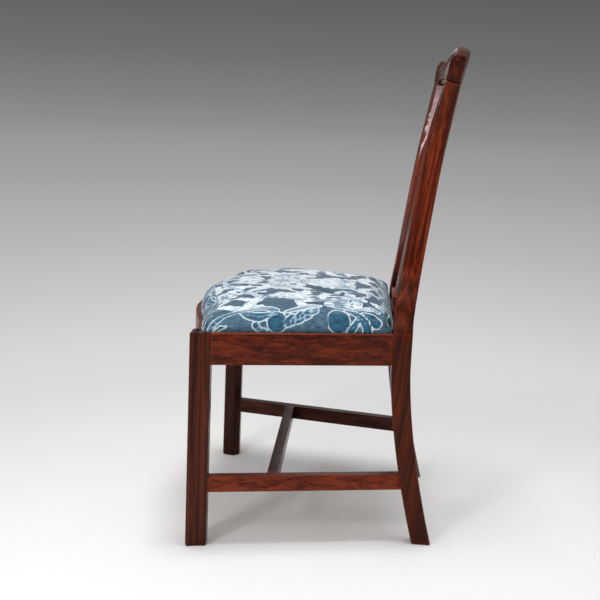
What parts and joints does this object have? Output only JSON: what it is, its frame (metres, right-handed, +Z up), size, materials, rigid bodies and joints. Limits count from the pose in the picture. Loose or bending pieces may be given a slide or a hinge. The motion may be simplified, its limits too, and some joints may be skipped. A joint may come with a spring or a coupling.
{
  "type": "dining chair",
  "caption": "Polished mahogany dining chair with a pierced shield splat, eared crest rail, serpentine front rail, stretchers and a damask drop-in seat that lifts out.",
  "frame": {"origin": "on the floor, under the middle of the bounding box", "axes": "+Z up, the front of the chair faces -Y, +X is the sitter's left"},
  "size_m": [0.5624, 0.531, 0.9716],
  "materials": {
    "polished_mahogany": "french polished",
    "beech": "bare, sawn and planed",
    "steel": "plain countersunk screws",
    "jute_webbing": "woven jute",
    "hessian": "plain woven",
    "stuffing": "cotton wadding over hair",
    "damask": "woven damask in blues"
  },
  "bodies": {
    "frame": {"front_leg_left": "polished_mahogany", "front_leg_right": "polished_mahogany", "crest_rail": "polished_mahogany", "back_leg_and_stile_left": "polished_mahogany", "back_leg_and_stile_right": "polished_mahogany", "splat": "polished_mahogany", "splat_shoe": "polished_mahogany", "front_rail": "polished_mahogany", "side_rail_left": "polished_mahogany", "side_rail_right": "polished_mahogany", "back_rail": "polished_mahogany", "side_stretcher_left": "polished_mahogany", "side_stretcher_right": "polished_mahogany", "cross_stretcher": "polished_mahogany", "front_corner_block_left": "beech", "front_corner_block_right": "beech", "back_corner_block_left": "beech", "back_corner_block_right": "beech", "front_block_screw_side_left": "steel", "front_block_screw_side_right": "steel", "front_block_screw_front_left": "steel", "front_block_screw_front_right": "steel", "rear_block_screw_side_left": "steel", "rear_block_screw_side_right": "steel", "rear_block_screw_rear_left": "steel", "rear_block_screw_rear_right": "steel"},
    "drop_in_seat": {"seat_frame_front": "beech", "seat_frame_back": "beech", "seat_frame_side_left": "beech", "seat_frame_side_right": "beech", "webbing_1": "jute_webbing", "webbing_2": "jute_webbing", "webbing_3": "jute_webbing", "webbing_4": "jute_webbing", "cross_webbing_1": "jute_webbing", "cross_webbing_2": "jute_webbing", "cross_webbing_3": "jute_webbing", "seat_hessian": "hessian", "seat_stuffing": "stuffing", "seat_cover": "damask"}
  },
  "joints": [
    {"name": "seat_lift", "type": "slide", "parent": "frame", "child": "drop_in_seat", "axis": [0, 0, 1], "range_m": [0, 0.08]}
  ]
}
